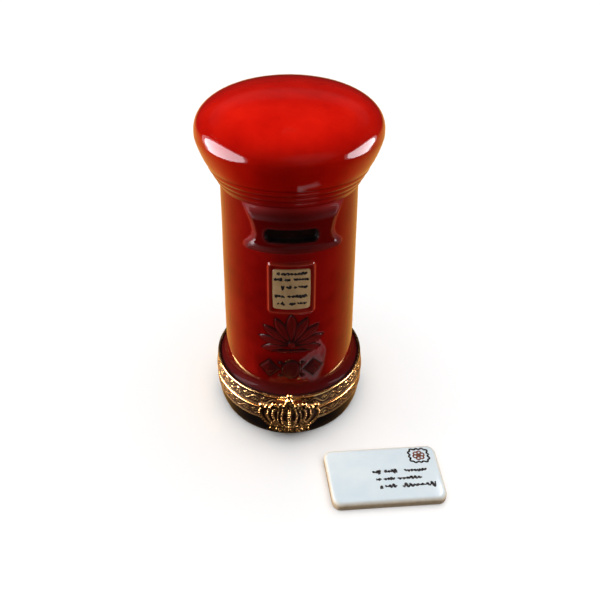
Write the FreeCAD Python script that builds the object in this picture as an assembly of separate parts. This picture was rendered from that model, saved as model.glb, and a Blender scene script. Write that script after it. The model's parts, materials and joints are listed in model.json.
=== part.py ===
import FreeCAD, Part
import math
import os

os.makedirs("parts", exist_ok=True)

# A hinged porcelain keepsake box in the form of a red pillar mailbox, with the
# small porcelain letter that it holds lying beside it. Millimetres, +Z up.
# The origin is the centre of the flat underside, the front faces -Y and the
# hinge is at the back, +Y. The shallow base dish stands on the table. The tall
# pillar is the lid.

# ---- driving dimensions -------------------------------------------------
TOTAL_H = 82.72          # height of the closed box
BAND_R = 20.0            # outside of the lower brass band
FACE_TURN = 1.8          # degrees; the casting sits turned a little in its mount
HOOD_TURN = 3.9          # degrees; the hood is a little off the line of the notice

# base dish
FOOT_R = 19.06
DISH_R = 19.69
DISH_TOP_R = 19.78
DISH_WALL_OUT = 19.05
DISH_WALL_IN = 17.6
DISH_FLOOR = 2.2

# brass bands and the split between them
LOWER_BAND_Z0 = 5.78
LOWER_BAND_Z1 = 9.85
UPPER_BAND_Z0 = 10.05
UPPER_BAND_Z1 = 14.11
UPPER_BAND_R0 = 19.94
UPPER_BAND_R1 = 19.38
BAND_IN_R = 19.1
FLANGE_T = 0.25
LOWER_FLANGE_IN = 17.5
UPPER_FLANGE_IN = 17.75
COLLAR_R = 17.5
COLLAR_T = 0.45
COLLAR_Z0 = 8.7
COLLAR_Z1 = 11.6

# pillar casting
PILLAR_FOOT_R = 16.84
PILLAR_FOOT_Z = 16.07
PILLAR_TOP_R = 15.0
PILLAR_TOP_Z = 63.1
CAP_R = 19.45
CAP_R_Z = 73.5
WALL_BOTTOM_IN = 18.0

# hood, posting slot, notice and raised ornament on the front of the pillar
HOOD_R = 16.32
HOOD_HALF = 31.0         # degrees
SKIRT_HALF = 39.0        # degrees
HOOD_Z0 = 53.7
SLOT_HALF_W = 5.75
SLOT_Z = 57.55
SLOT_H = 2.7
SLOT_FLOOR_R = 14.95
FRAME_HALF = 18.5        # degrees
FRAME_Z0, FRAME_Z1 = 38.0, 50.9
NOTICE_HALF = 15.3       # degrees
NOTICE_Z0, NOTICE_Z1 = 39.1, 49.3

# hinge
HINGE_Y = 21.35
HINGE_Z = 9.95
KNUCKLE_R = 1.1
PIN_R = 0.5
PIN_RUNNING = 0.05       # radial clearance in the middle knuckle
KNUCKLE_SPLIT = 1.68
KNUCKLE_GAP = 0.08
HINGE_HALF_W = 5.0

# clasp
TAB_IN, TAB_OUT = 20.45, 20.9
TAB_HALF = 9.0           # degrees
BEAD_Z = 7.9
CROWN_HALF_W = 7.95
CROWN_Z0, CROWN_Z1 = 3.7, 17.6
CROWN_OUT = 21.95

# letter
LETTER_L, LETTER_W, LETTER_T = 28.0, 14.9, 2.6
LETTER_TAPER = 0.7
LETTER_AT = (22.75, -32.7)
LETTER_TURN = 4.0

V = FreeCAD.Vector
Z = V(0, 0, 1)
O = V(0, 0, 0)


def revolve(edges):
    """Turn a closed outline in the XZ plane once round the Z axis."""
    face = Part.Face(Part.Wire(edges))
    return face.revolve(O, Z, 360)


def line(a, b):
    return Part.LineSegment(V(a[0], 0, a[1]), V(b[0], 0, b[1])).toShape()


def chain(points):
    return [line(points[i], points[i + 1]) for i in range(len(points) - 1)]


def arc(a, b, c):
    return Part.Arc(V(a[0], 0, a[1]), V(b[0], 0, b[1]), V(c[0], 0, c[1])).toShape()


def sector(r0, r1, half, z0, z1, centre=0.0):
    """Part of a tube about the Z axis, centred on the front (-Y)."""
    outer = Part.makeCylinder(r1, z1 - z0, V(0, 0, z0), Z, 2 * half)
    inner = Part.makeCylinder(r0, z1 - z0 + 2, V(0, 0, z0 - 1))
    s = outer.cut(inner)
    s.rotate(O, Z, -90 - half + centre)
    return s


def front_prism(points, y0=-30.0, y1=-5.0):
    """Straight prism along Y with the outline given in X and Z."""
    w = Part.makePolygon([V(x, y0, z) for x, z in points] + [V(points[0][0], y0, points[0][1])])
    return Part.Face(w).extrude(V(0, y1 - y0, 0))


def tube(r0, r1, z0, z1):
    return Part.makeCylinder(r1, z1 - z0, V(0, 0, z0)).cut(
        Part.makeCylinder(r0, z1 - z0 + 2, V(0, 0, z0 - 1)))


def one_solid(shape):
    shape = shape.removeSplitter()
    assert len(shape.Solids) == 1, len(shape.Solids)
    s = shape.Solids[0]
    assert s.isValid()
    return s


made = {}


def put(name, shape):
    made[name] = shape
    shape.exportStep("parts/%s.step" % name)


# ---- base dish: shallow glazed dish, flat underneath ---------------------
dish = revolve(
    chain([(0, 0), (FOOT_R - 0.5, 0)])
    + [arc((FOOT_R - 0.5, 0), (FOOT_R - 0.13, 0.15), (FOOT_R, 0.5))]
    + [arc((FOOT_R, 0.5), (DISH_R - 0.17, 2.0), (DISH_R, 3.4))]
    + chain([(DISH_R, 3.4), (DISH_TOP_R, LOWER_BAND_Z0 - 0.3), (DISH_TOP_R - 0.12, LOWER_BAND_Z0),
             (DISH_WALL_OUT, LOWER_BAND_Z0),
             (DISH_WALL_OUT, LOWER_BAND_Z1 - FLANGE_T), (DISH_WALL_IN, LOWER_BAND_Z1 - FLANGE_T),
             (DISH_WALL_IN, DISH_FLOOR + 1.6)])
    + [arc((DISH_WALL_IN, DISH_FLOOR + 1.6), (DISH_WALL_IN - 0.47, DISH_FLOOR + 0.47),
           (DISH_WALL_IN - 1.6, DISH_FLOOR))]
    + chain([(DISH_WALL_IN - 1.6, DISH_FLOOR), (0, DISH_FLOOR), (0, 0)]))
put("base_dish", one_solid(dish))

# ---- lower band: wall with two bead lines, and a flange over the dish ----
lb = revolve(chain([
    (BAND_IN_R, LOWER_BAND_Z0), (BAND_R - 0.12, LOWER_BAND_Z0), (BAND_R, LOWER_BAND_Z0 + 0.12),
    (BAND_R, LOWER_BAND_Z0 + 0.55), (BAND_R - 0.18, LOWER_BAND_Z0 + 0.7),
    (BAND_R - 0.18, LOWER_BAND_Z1 - 0.75), (BAND_R, LOWER_BAND_Z1 - 0.6),
    (BAND_R, LOWER_BAND_Z1 - 0.12), (BAND_R - 0.12, LOWER_BAND_Z1),
    (LOWER_FLANGE_IN, LOWER_BAND_Z1), (LOWER_FLANGE_IN, LOWER_BAND_Z1 - FLANGE_T),
    (BAND_IN_R, LOWER_BAND_Z1 - FLANGE_T), (BAND_IN_R, LOWER_BAND_Z0)]))
put("lower_band", one_solid(lb))

# ---- locating collar: thin ring that stands up into the pillar's mouth ----
put("locating_collar", one_solid(tube(COLLAR_R - COLLAR_T, COLLAR_R, COLLAR_Z0, COLLAR_Z1)))

# ---- catch bead: low dome on the front of the lower band ------------------
ball = Part.makeSphere(1.2, V(0, -(BAND_R - 0.85), BEAD_Z))
band_core = Part.makeCylinder(BAND_R - 0.18, 12, V(0, 0, 0))
put("catch_bead", one_solid(ball.cut(band_core)))

# ---- upper band ------------------------------------------------------------
ub_pts = [
    (BAND_IN_R, UPPER_BAND_Z0 + FLANGE_T), (UPPER_FLANGE_IN, UPPER_BAND_Z0 + FLANGE_T),
    (UPPER_FLANGE_IN, UPPER_BAND_Z0), (UPPER_BAND_R0 - 0.12, UPPER_BAND_Z0),
    (UPPER_BAND_R0, UPPER_BAND_Z0 + 0.12), (UPPER_BAND_R0 - 0.06, UPPER_BAND_Z0 + 0.55),
    (UPPER_BAND_R0 - 0.26, UPPER_BAND_Z0 + 0.7), (UPPER_BAND_R1 - 0.12, UPPER_BAND_Z1 - 0.75),
    (UPPER_BAND_R1 + 0.06, UPPER_BAND_Z1 - 0.6), (UPPER_BAND_R1, UPPER_BAND_Z1 - 0.12),
    (UPPER_BAND_R1 - 0.1, UPPER_BAND_Z1), (18.95, UPPER_BAND_Z1), (18.86, UPPER_BAND_Z1 - 0.1),
    (18.86, UPPER_BAND_Z1 - 0.38), (BAND_IN_R, UPPER_BAND_Z1 - 0.6),
    (BAND_IN_R, UPPER_BAND_Z0 + FLANGE_T)]
ub = one_solid(revolve(chain(ub_pts)))
put("upper_band", ub)
# solid of revolution that fills the upper band out to its widest line
ub_core = Part.makeCone(UPPER_BAND_R0 + 0.01, UPPER_BAND_R1 + 0.07,
                        UPPER_BAND_Z1 - UPPER_BAND_Z0, V(0, 0, UPPER_BAND_Z0))

# ---- pillar casting ----------------------------------------------------------
# outer outline, from the edge inside the upper band to the top of the dome
foot = [(WALL_BOTTOM_IN, UPPER_BAND_Z0 + FLANGE_T), (BAND_IN_R - 0.08, UPPER_BAND_Z0 + FLANGE_T),
        (BAND_IN_R - 0.08, 13.3), (18.66, 13.66), (18.42, 14.1)]
flare = chain([(18.42, 14.1), (17.72, 14.54), (17.2, 15.13), (16.92, 15.75), (PILLAR_FOOT_R, 16.3)])
# three low ridges on the cone that widens out under the cap
rings = chain([(PILLAR_FOOT_R, 16.3), (PILLAR_TOP_R, PILLAR_TOP_Z), (15.78, 64.3), (15.99, 65.0), (16.51, 65.7),
               (16.71, 66.4), (17.24, 67.1), (17.44, 67.8), (17.62, 68.15)])
cap_pts = [(17.62, 68.15), (18.05, 69.0), (18.46, 70.0), (18.82, 71.0), (19.14, 72.0), (19.34, 72.8),
           (CAP_R, CAP_R_Z), (19.43, 74.2), (19.36, 74.9), (19.2, 75.6), (18.99, 76.2), (18.69, 76.8),
           (18.29, 77.4), (17.78, 78.0), (17.13, 78.6), (16.33, 79.2), (15.34, 79.8), (14.33, 80.3),
           (13.1, 80.8), (11.92, 81.2), (10.47, 81.6), (9.14, 81.9), (7.5, 82.19), (5.51, 82.45),
           (3.3, 82.63), (1.5, 82.705), (0, TOTAL_H)]
cap = chain(cap_pts)
# hollow: about 2 mm of wall all the way up
inside = chain([(0, TOTAL_H), (0, 80.7), (8.5, 79.9), (12.6, 78.8), (15.4, 77.2), (17.0, 75.2), (17.1, 73.0),
                (16.3, 70.4), (13.6, 66.2), (13.0, 62.0), (14.9, 17.4), (WALL_BOTTOM_IN, 12.7),
                (WALL_BOTTOM_IN, UPPER_BAND_Z0 + FLANGE_T)])
pillar = revolve(chain(foot) + flare + rings + cap + inside)
pillar = one_solid(pillar)

# hood: raised block round the posting slot, from its ledge up into the rings
hood = sector(14.0, HOOD_R + 0.6, HOOD_HALF, HOOD_Z0, 63.4)
# its face is upright past the slot, leans back to meet the rings, and turns out at the ledge
face = revolve(chain([(0, 53.0), (HOOD_R + 0.3, 53.0), (HOOD_R + 0.3, 54.2), (HOOD_R, 55.2), (HOOD_R, 60.0),
                      (15.2, 63.4), (0, 63.4), (0, 53.0)]))
hood = hood.common(face)
skirt = sector(14.0, HOOD_R, SKIRT_HALF, HOOD_Z0, HOOD_Z0 + 0.9)
slot_w = SLOT_HALF_W - SLOT_H / 2
slot = Part.makeBox(2 * slot_w, 20, SLOT_H, V(-slot_w, -30, SLOT_Z - SLOT_H / 2))
for s in (-1, 1):
    slot = slot.fuse(Part.makeCylinder(SLOT_H / 2, 20, V(s * slot_w, -30, SLOT_Z), V(0, 1, 0)))
slot = slot.cut(Part.makeCylinder(SLOT_FLOOR_R, 10, V(0, 0, SLOT_Z - 5)))

# raised frame with the notice panel set in it
frame = sector(14.5, 16.22, FRAME_HALF, FRAME_Z0, FRAME_Z1)
panel = sector(16.02, 18.0, NOTICE_HALF, NOTICE_Z0, NOTICE_Z1)

# upper ornament: five plain leaves in a fan. Lower ornament: three lozenges
upper = []
for k, (turn, length) in enumerate([(-62, 6.4), (-32, 6.2), (0, 6.4), (32, 6.2), (62, 6.4)]):
    t = math.radians(turn)
    d, n = (math.sin(t), math.cos(t)), (math.cos(t), -math.sin(t))
    x0, z0 = 0.0, 28.6
    pts = [(x0 + d[0] * a * length + n[0] * b, z0 + d[1] * a * length + n[1] * b)
           for a, b in ((0.18, 0.0), (0.5, 0.95), (0.8, 1.0), (1.0, 0.0), (0.8, -1.0), (0.5, -0.95))]
    upper.append(front_prism(pts).common(tube(14.5, 16.62, 26.0, 37.5)))
lower = []
for x in (-5.0, 0.0, 5.0):
    pts = [(x, 18.4), (x + 2.0, 21.2), (x, 24.0), (x - 2.0, 21.2)]
    lower.append(front_prism(pts).common(tube(15.0, 16.98, 17.5, 25.0)))

hood = hood.fuse(skirt)
frame = frame.cut(panel)
ornament = upper[0].multiFuse(upper[1:] + lower)
for s, turn in ((hood, HOOD_TURN), (slot, FACE_TURN), (frame, FACE_TURN), (ornament, FACE_TURN)):
    s.rotate(O, Z, turn)
pillar = pillar.cut(slot).multiFuse([hood.cut(slot), frame] + ornament.Solids)
put("pillar_shell", one_solid(pillar))

# ---- hinge: two bearers, three knuckles and a pin ---------------------------
X = V(1, 0, 0)


def knuckle(x0, x1, bore):
    k = Part.makeCylinder(KNUCKLE_R, x1 - x0, V(x0, HINGE_Y, HINGE_Z), X)
    return k.cut(Part.makeCylinder(bore, x1 - x0 + 2, V(x0 - 1, HINGE_Y, HINGE_Z), X))


put("hinge_knuckle_left", one_solid(knuckle(-HINGE_HALF_W, -KNUCKLE_SPLIT, PIN_R)))
put("hinge_knuckle_right", one_solid(knuckle(KNUCKLE_SPLIT, HINGE_HALF_W, PIN_R)))
put("hinge_knuckle_middle", one_solid(
    knuckle(-KNUCKLE_SPLIT + KNUCKLE_GAP, KNUCKLE_SPLIT - KNUCKLE_GAP, PIN_R + PIN_RUNNING)))
pin = Part.makeCylinder(PIN_R, 2 * HINGE_HALF_W, V(-HINGE_HALF_W, HINGE_Y, HINGE_Z), X)
for s in (-1, 1):
    pin = pin.fuse(Part.makeCylinder(0.75, 0.3, V(s * HINGE_HALF_W, HINGE_Y, HINGE_Z), V(s, 0, 0)))
put("hinge_pin", one_solid(pin))

knuckle_bar = Part.makeCylinder(KNUCKLE_R, 30, V(-15, HINGE_Y, HINGE_Z), X)
lower_bearer = Part.makeBox(2 * HINGE_HALF_W, 2.0, 2.1, V(-HINGE_HALF_W, 18.95, 6.4))
for x0 in (-HINGE_HALF_W, KNUCKLE_SPLIT):
    lower_bearer = lower_bearer.fuse(
        Part.makeBox(HINGE_HALF_W - KNUCKLE_SPLIT, 2.0, 3.0, V(x0, 18.95, 6.4)))
lower_bearer = lower_bearer.cut(Part.makeCylinder(BAND_R, 12, V(0, 0, 0))).cut(knuckle_bar)
put("hinge_bearer_lower", one_solid(lower_bearer))

upper_bearer = Part.makeBox(2 * HINGE_HALF_W, 2.1, 2.1, V(-HINGE_HALF_W, 18.85, 11.4))
mid_w = KNUCKLE_SPLIT - KNUCKLE_GAP
upper_bearer = upper_bearer.fuse(Part.makeBox(2 * mid_w, 2.1, 3.0, V(-mid_w, 18.85, 10.5)))
upper_bearer = upper_bearer.cut(ub_core).cut(knuckle_bar)
put("hinge_bearer_upper", one_solid(upper_bearer))

# ---- clasp: spring tab on the upper band, with a cast crown on its face -----
tab = sector(TAB_IN, TAB_OUT, TAB_HALF, 6.2, 13.8)
tab = tab.fuse(sector(19.0, TAB_IN + 0.01, TAB_HALF, 10.9, 13.6).cut(ub_core))
put("clasp_tab", one_solid(tab))

half = [(0.0, CROWN_Z0), (5.2, CROWN_Z0), (5.35, 5.9), (6.6, 7.6), (7.6, 9.4), (CROWN_HALF_W, 10.9),
        (7.7, 12.3), (6.9, 13.1), (6.0, 12.4), (5.0, 12.6), (4.2, 13.7), (3.3, 13.6), (2.3, 13.2),
        (1.3, 14.2), (0.0, 14.6)]
outline = half + [(-x, z) for x, z in reversed(half[1:-1])]
crown = front_prism(outline).common(tube(TAB_OUT, CROWN_OUT, CROWN_Z0, 15.0))
for pts in ([(1.0, 7.0), (2.6, 7.0), (3.2, 10.6), (1.2, 11.4)],
            [(3.7, 7.2), (4.9, 7.2), (6.2, 9.6), (5.6, 11.0), (4.5, 10.6)]):
    for s in (-1, 1):
        cutter = front_prism([(s * x, z) for x, z in pts])
        crown = crown.cut(cutter.common(tube(TAB_OUT + 0.55, 24.0, 6.0, 12.0)))
beads = [Part.makeSphere(0.85, V(x, -math.sqrt(21.5 ** 2 - x * x), z))
         for x, z in ((-6.95, 12.9), (6.95, 12.9), (-3.75, 13.7), (3.75, 13.7))]
beads.append(Part.makeSphere(1.3, V(0, -21.45, 15.0)))
beads.append(Part.makeSphere(0.72, V(0, -21.45, CROWN_Z1 - 0.72)))
beads.append(Part.makeCylinder(0.4, 1.4, V(0, -21.45, 15.6)))
circlet = sector(TAB_OUT, CROWN_OUT + 0.55, math.degrees(math.asin(5.35 / 22.0)),
                 CROWN_Z0 + 0.2, CROWN_Z0 + 2.1)
crown = crown.multiFuse(beads + [circlet])
crown = crown.cut(Part.makeCylinder(TAB_OUT, 30, V(0, 0, 0)))
put("crown_clasp", one_solid(crown))

# ---- letter: small glazed tablet, a little wider along its far edge ----------
hl, hs, hw = LETTER_L / 2, LETTER_L / 2 - LETTER_TAPER, LETTER_W / 2
letter = Part.Face(Part.makePolygon([V(-hs, -hw, 0), V(hs, -hw, 0), V(hl, hw, 0), V(-hl, hw, 0), V(-hs, -hw, 0)]))
letter = letter.extrude(V(0, 0, LETTER_T))
upright = [e for e in letter.Edges if abs(e.tangentAt(e.FirstParameter).z) > 0.9]
letter = letter.makeFillet(2.0, upright)
top = [e for e in letter.Edges if e.BoundBox.ZMin > LETTER_T - 0.01]
letter = letter.makeFillet(0.9, top)
bottom = [e for e in letter.Edges if e.BoundBox.ZMax < 0.01]
letter = letter.makeFillet(0.5, bottom)
letter.rotate(O, Z, LETTER_TURN)
letter.translate(V(LETTER_AT[0], LETTER_AT[1], 0))
put("letter", one_solid(letter))

for name, s in made.items():
    b = s.BoundBox
    print("%-22s %8.1f mm3  x %7.2f %7.2f  y %7.2f %7.2f  z %6.2f %6.2f" % (
        name, s.Volume, b.XMin, b.XMax, b.YMin, b.YMax, b.ZMin, b.ZMax))
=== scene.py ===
import math
import bpy
import bmesh
import numpy as np
from mathutils import Matrix, Vector
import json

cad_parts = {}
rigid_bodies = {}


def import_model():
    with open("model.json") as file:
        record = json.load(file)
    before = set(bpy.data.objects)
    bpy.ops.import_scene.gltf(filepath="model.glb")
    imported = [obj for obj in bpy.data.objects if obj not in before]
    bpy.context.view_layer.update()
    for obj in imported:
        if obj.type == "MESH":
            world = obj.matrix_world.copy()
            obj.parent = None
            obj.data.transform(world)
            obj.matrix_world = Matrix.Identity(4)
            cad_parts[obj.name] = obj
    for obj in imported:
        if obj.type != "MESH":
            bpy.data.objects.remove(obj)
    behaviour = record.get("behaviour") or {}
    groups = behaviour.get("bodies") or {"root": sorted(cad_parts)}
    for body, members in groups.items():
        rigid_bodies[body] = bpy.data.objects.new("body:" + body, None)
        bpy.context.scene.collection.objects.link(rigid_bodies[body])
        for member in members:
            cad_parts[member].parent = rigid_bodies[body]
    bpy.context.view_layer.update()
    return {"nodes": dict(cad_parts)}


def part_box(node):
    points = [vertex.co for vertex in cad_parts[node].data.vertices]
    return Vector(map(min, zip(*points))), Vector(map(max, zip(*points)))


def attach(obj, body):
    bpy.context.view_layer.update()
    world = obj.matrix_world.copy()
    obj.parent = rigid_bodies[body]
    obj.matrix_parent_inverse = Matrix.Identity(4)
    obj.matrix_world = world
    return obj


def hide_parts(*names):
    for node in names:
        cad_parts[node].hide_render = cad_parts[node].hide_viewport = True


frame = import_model()
MM = 0.001

# --------------------------------------------------------------------------
# small helpers. Everything below is worked out in millimetres, in the frame
# of the CAD model, and scaled to metres when the mesh is made.
# --------------------------------------------------------------------------


def smoothstep(x):
    x = np.clip(x, 0.0, 1.0)
    return x * x * (3 - 2 * x)


def step_at(x, edge, width):
    """0 below the edge and 1 above it, over a soft width."""
    return smoothstep((x - edge) / width + 0.5)


def smax(a, b, k):
    h = np.clip(0.5 + 0.5 * (a - b) / k, 0, 1)
    return b * (1 - h) + a * h + k * h * (1 - h)


def arc3(a, b, c, n):
    """n+1 points on the circle through a, b and c."""
    (ax, ay), (bx, by), (cx, cy) = a, b, c
    d = 2 * (ax * (by - cy) + bx * (cy - ay) + cx * (ay - by))
    ux = ((ax * ax + ay * ay) * (by - cy) + (bx * bx + by * by) * (cy - ay) + (cx * cx + cy * cy) * (ay - by)) / d
    uy = ((ax * ax + ay * ay) * (cx - bx) + (bx * bx + by * by) * (ax - cx) + (cx * cx + cy * cy) * (bx - ax)) / d
    r = math.hypot(ax - ux, ay - uy)
    t0, t1, t2 = (math.atan2(p[1] - uy, p[0] - ux) for p in (a, b, c))
    while t1 - t0 > math.pi:
        t1 -= 2 * math.pi
    while t1 - t0 < -math.pi:
        t1 += 2 * math.pi
    while t2 - t1 > math.pi:
        t2 -= 2 * math.pi
    while t2 - t1 < -math.pi:
        t2 += 2 * math.pi
    return [(ux + r * math.cos(t), uy + r * math.sin(t)) for t in np.linspace(t0, t2, n + 1)]


def along(points, step):
    """The same polyline with no two points more than step apart."""
    out = [points[0]]
    for p, q in zip(points, points[1:]):
        n = max(1, int(math.ceil(math.dist(p, q) / step)))
        out += [(p[0] + (q[0] - p[0]) * i / n, p[1] + (q[1] - p[1]) * i / n) for i in range(1, n + 1)]
    return out


def spline(points, n):
    """Catmull-Rom curve through the points, n steps to each span."""
    p = np.array(points, float)
    p = np.vstack([2 * p[0] - p[1], p, 2 * p[-1] - p[-2]])
    out = []
    for i in range(1, len(p) - 2):
        for t in np.linspace(0, 1, n, endpoint=False):
            a, b, c, d = p[i - 1], p[i], p[i + 1], p[i + 2]
            out.append(0.5 * ((2 * b) + (-a + c) * t + (2 * a - 5 * b + 4 * c - d) * t ** 2
                              + (-a + 3 * b - 3 * c + d) * t ** 3))
    out.append(p[-2])
    return [tuple(q) for q in out]


def link(obj):
    bpy.context.scene.collection.objects.link(obj)
    return obj


def mesh_object(name, verts, faces, attributes=None, smooth=True):
    """A mesh from an (n, 3) array in millimetres and a list of face arrays."""
    me = bpy.data.meshes.new(name)
    me.vertices.add(len(verts))
    me.vertices.foreach_set("co", (np.asarray(verts, np.float64) * MM).astype(np.float32).ravel())
    loops = np.concatenate([f.ravel() for f in faces])
    sizes = np.concatenate([np.full(len(f), f.shape[1], np.int32) for f in faces])
    starts = np.concatenate([[0], np.cumsum(sizes)[:-1]]).astype(np.int32)
    me.loops.add(len(loops))
    me.loops.foreach_set("vertex_index", loops.astype(np.int32))
    me.polygons.add(len(sizes))
    me.polygons.foreach_set("loop_start", starts)
    me.update(calc_edges=True)
    me.validate()
    if smooth:
        me.polygons.foreach_set("use_smooth", np.ones(len(me.polygons), bool))
    for key, values in (attributes or {}).items():
        at = me.attributes.new(key, "FLOAT", "POINT")
        at.data.foreach_set("value", np.asarray(values, np.float32).ravel())
    return link(bpy.data.objects.new(name, me))


def grid(rows, cols, closed_u=True, offset=0):
    i, j = np.meshgrid(np.arange(rows - 1), np.arange(cols if closed_u else cols - 1), indexing="ij")
    k = (j + 1) % cols
    q = np.stack([i * cols + j, i * cols + k, (i + 1) * cols + k, (i + 1) * cols + j], -1).reshape(-1, 4)
    return q + offset


def turned(name, P, start_pole=None, end_pole=None, closed_v=False, attributes=None):
    """A closed surface of rings: P is (rows, columns, 3)."""
    rows, cols = P.shape[:2]
    verts = [P.reshape(-1, 3)]
    faces = [grid(rows, cols)]
    extra = 0
    if closed_v:
        j = np.arange(cols)
        k = (j + 1) % cols
        last = (rows - 1) * cols
        faces.append(np.stack([last + j, last + k, k, j], -1))
    j = np.arange(cols)
    k = (j + 1) % cols
    n = rows * cols
    if start_pole is not None:
        verts.append(np.array([start_pole], float))
        faces.append(np.stack([np.full(cols, n), k, j], -1))
        n += 1
        extra += 1
    if end_pole is not None:
        verts.append(np.array([end_pole], float))
        base = (rows - 1) * cols
        faces.append(np.stack([base + j, base + k, np.full(cols, n)], -1))
        extra += 1
    at = {}
    for key, v in (attributes or {}).items():
        v = np.asarray(v, float).ravel()
        at[key] = np.concatenate([v, np.full(extra, 0.0)])
        if start_pole is not None:
            at[key][rows * cols] = v[0]
        if end_pole is not None:
            at[key][-1] = v[-1]
    return mesh_object(name, np.concatenate(verts), faces, at)


def azimuths(fine, half, coarse):
    """Angles round the axis, 0 at the front, fine in front and coarser behind."""
    a, t = [0.0], 0.0
    while True:
        t += fine if t < half else min(coarse, fine + (t - half) * 0.05)
        if t >= 180 - fine:
            break
        a.append(t)
    return np.array([-180.0] + [-x for x in reversed(a[1:])] + a)


def around(az_deg, r, z):
    a = np.radians(az_deg)
    return np.stack([r * np.sin(a), -r * np.cos(a), z + np.zeros_like(a)], -1)


def tube_along(points, radius, sides=10, flat=1.0, normal=None, taper=True):
    """Verts and faces of a closed tube along 3-D points in mm. With flat under 1
    its section is pressed flat along the normal given for each point."""
    p = np.array(points, float)
    n = len(p)
    tangent = np.gradient(p, axis=0)
    tangent /= np.linalg.norm(tangent, axis=1)[:, None] + 1e-12
    if normal is None:
        up = np.array([0.0, 0.0, 1.0])
        normal = np.repeat(up[None], n, 0)
    nrm = normal - (normal * tangent).sum(1)[:, None] * tangent
    nrm /= np.linalg.norm(nrm, axis=1)[:, None] + 1e-12
    side = np.cross(tangent, nrm)
    r = np.broadcast_to(np.asarray(radius, float), (n,)).copy()
    if taper:
        r[0] *= 0.35
        r[-1] *= 0.35
    ring = []
    for k in range(sides):
        t = 2 * math.pi * k / sides
        ring.append(p + side * (r * math.cos(t))[:, None] + nrm * (r * flat * math.sin(t))[:, None])
    V = np.stack(ring, 1)
    verts = np.concatenate([V.reshape(-1, 3), p[:1], p[-1:]])
    q = grid(n, sides)
    j = np.arange(sides)
    k = (j + 1) % sides
    a, b = n * sides, n * sides + 1
    last = (n - 1) * sides
    caps0 = np.stack([np.full(sides, a), k, j], -1)
    caps1 = np.stack([last + j, last + k, np.full(sides, b)], -1)
    return verts, [q, np.concatenate([caps0, caps1])]


def merge(name, parts, attributes=None):
    """One object from several (verts, [quads, tris]) pairs."""
    verts, quads, tris, n = [], [], [], 0
    for v, (q, t) in parts:
        verts.append(v)
        quads.append(q + n)
        tris.append(t + n)
        n += len(v)
    return mesh_object(name, np.concatenate(verts), [np.concatenate(quads), np.concatenate(tris)], attributes)


def box_sdf(x, y, bx, by, r):
    qx, qy = np.abs(x) - bx + r, np.abs(y) - by + r
    return np.hypot(np.maximum(qx, 0), np.maximum(qy, 0)) + np.minimum(np.maximum(qx, qy), 0) - r


def wobble(az, z, seed):
    """Slow, smooth unevenness between about -1 and 1, the same on every run."""
    rng = np.random.default_rng(seed)
    a = np.radians(az)
    out = np.zeros(np.broadcast(a, z).shape)
    for _ in range(9):
        m, k, p, q = rng.integers(1, 6), rng.uniform(0.05, 0.4), rng.uniform(0, 6.28), rng.uniform(0, 6.28)
        out += np.sin(m * a + p) * np.sin(k * z + q)
    return out / 4.0


# --------------------------------------------------------------------------
# sizes shared with the CAD model, in millimetres and degrees
# --------------------------------------------------------------------------
TURN, HOOD_TURN = 1.8, 3.9
FOOT_R, FOOT_Z, TOP_R, TOP_Z = 16.84, 16.3, 15.0, 63.1
TOTAL_H = 82.72
BAND_IN = 19.1
EDGE_Z = 10.3
BAND_R = 20.0
LB0, LB1 = 5.78, 9.85
UB0, UB1 = 10.05, 14.11
UR0, UR1 = 19.94, 19.38


def pillar_r(z):
    return FOOT_R + (TOP_R - FOOT_R) * (z - FOOT_Z) / (TOP_Z - FOOT_Z)


# --------------------------------------------------------------------------
# materials
# --------------------------------------------------------------------------


def new_material(name):
    m = bpy.data.materials.new(name)
    m.use_nodes = True
    nt = m.node_tree
    nt.nodes.clear()
    out = nt.nodes.new("ShaderNodeOutputMaterial")
    bsdf = nt.nodes.new("ShaderNodeBsdfPrincipled")
    nt.links.new(bsdf.outputs[0], out.inputs[0])
    return m, nt, bsdf


def attr(nt, name):
    n = nt.nodes.new("ShaderNodeAttribute")
    n.attribute_name = name
    return n.outputs["Fac"]


def noise(nt, scale, detail=3.0, rough=0.5, coords=None, distortion=0.0):
    n = nt.nodes.new("ShaderNodeTexNoise")
    n.inputs["Scale"].default_value = scale
    n.inputs["Detail"].default_value = detail
    n.inputs["Roughness"].default_value = rough
    n.inputs["Distortion"].default_value = distortion
    if coords is None:
        c = nt.nodes.new("ShaderNodeTexCoord")
        coords = c.outputs["Object"]
    nt.links.new(coords, n.inputs["Vector"])
    return n.outputs["Fac"]


def ramp(nt, fac, stops):
    n = nt.nodes.new("ShaderNodeValToRGB")
    el = n.color_ramp.elements
    while len(el) < len(stops):
        el.new(0.5)
    for e, (pos, col) in zip(el, stops):
        e.position = pos
        e.color = (*col, 1.0) if len(col) == 3 else col
    nt.links.new(fac, n.inputs["Fac"])
    return n.outputs["Color"]


def mixc(nt, fac, a, b, mode="MIX"):
    n = nt.nodes.new("ShaderNodeMix")
    n.data_type = "RGBA"
    n.blend_type = mode
    n.clamp_factor = True
    for sock, v in ((n.inputs["Factor"], fac), (n.inputs["A"], a), (n.inputs["B"], b)):
        if hasattr(v, "is_output") and v.is_output:
            nt.links.new(v, sock)
        elif isinstance(v, (int, float)):
            sock.default_value = v
        else:
            sock.default_value = (*v, 1.0)
    return [o for o in n.outputs if o.type == "RGBA"][0]


def math_node(nt, op, a, b=0.0, c=None, clamp=False):
    n = nt.nodes.new("ShaderNodeMath")
    n.operation = op
    n.use_clamp = clamp
    for k, v in enumerate((a, b) if c is None else (a, b, c)):
        if hasattr(v, "is_output"):
            nt.links.new(v, n.inputs[k])
        else:
            n.inputs[k].default_value = v
    return n.outputs[0]


def bump(nt, height, strength, distance):
    n = nt.nodes.new("ShaderNodeBump")
    n.inputs["Strength"].default_value = strength
    n.inputs["Distance"].default_value = distance
    nt.links.new(height, n.inputs["Height"])
    return n.outputs["Normal"]


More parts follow.
